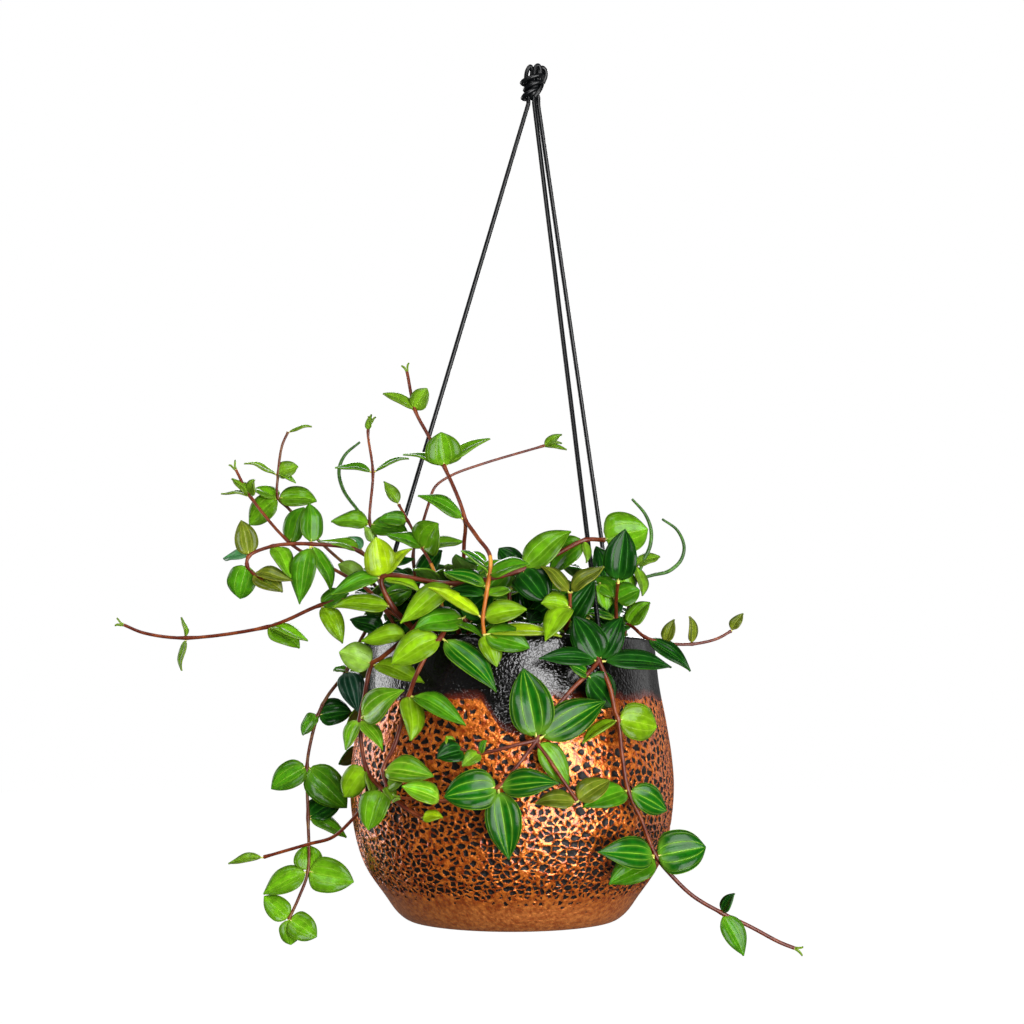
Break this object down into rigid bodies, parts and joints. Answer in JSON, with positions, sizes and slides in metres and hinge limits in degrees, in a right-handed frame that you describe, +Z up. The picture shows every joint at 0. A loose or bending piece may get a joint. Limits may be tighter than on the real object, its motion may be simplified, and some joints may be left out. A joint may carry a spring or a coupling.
{
  "type": "hanging potted plant",
  "caption": "Trailing leafy plant in a round glazed ceramic pot that hangs by three cords knotted together at the top.",
  "frame": {"origin": "point inside the top knot's loops where the plant hangs from its hook, on the knot's top", "axes": "+Z up, against the pull of the hang; +X to the viewer's right and -Y towards the viewer in front; the pot's middle lies 12.9 mm to the -X side"},
  "size_m": [0.3606, 0.228, 0.5036],
  "materials": {
    "pot": "glossy",
    "soil": "rough",
    "cord": "satin",
    "foliage": "glossy"
  },
  "bodies": {
    "root": {"pot": "pot", "soil": "soil", "cord_left": "cord", "stopper_left": "cord", "cord_front": "cord", "stopper_front": "cord", "cord_back": "cord", "stopper_back": "cord", "top_knot": "cord", "stem_tall": "foliage", "stem_arch": "foliage", "stem_orange": "foliage", "stem_upright_left": "foliage", "stem_left_high": "foliage", "stem_left_diagonal": "foliage", "stem_left_arch": "foliage", "stem_left_long": "foliage", "stem_trail_left": "foliage", "stem_trail_front": "foliage", "stem_hanging_left": "foliage", "stem_trail_right": "foliage", "stem_right": "foliage", "stem_centre": "foliage", "stem_cluster": "foliage", "stem_front_low": "foliage", "stem_right_upright": "foliage", "stem_right_dark": "foliage", "stem_crown_1": "foliage", "stem_crown_2": "foliage", "stem_crown_3": "foliage", "stem_crown_4": "foliage", "stem_crown_5": "foliage", "stem_crown_6": "foliage", "stem_crown_7": "foliage", "stem_crown_8": "foliage", "stem_crown_9": "foliage", "stem_crown_10": "foliage", "stem_crown_11": "foliage", "stem_crown_12": "foliage", "stem_back_1": "foliage", "stem_back_2": "foliage", "stem_back_3": "foliage", "stem_back_4": "foliage", "stem_back_5": "foliage", "stem_back_6": "foliage"}
  },
  "joints": []
}
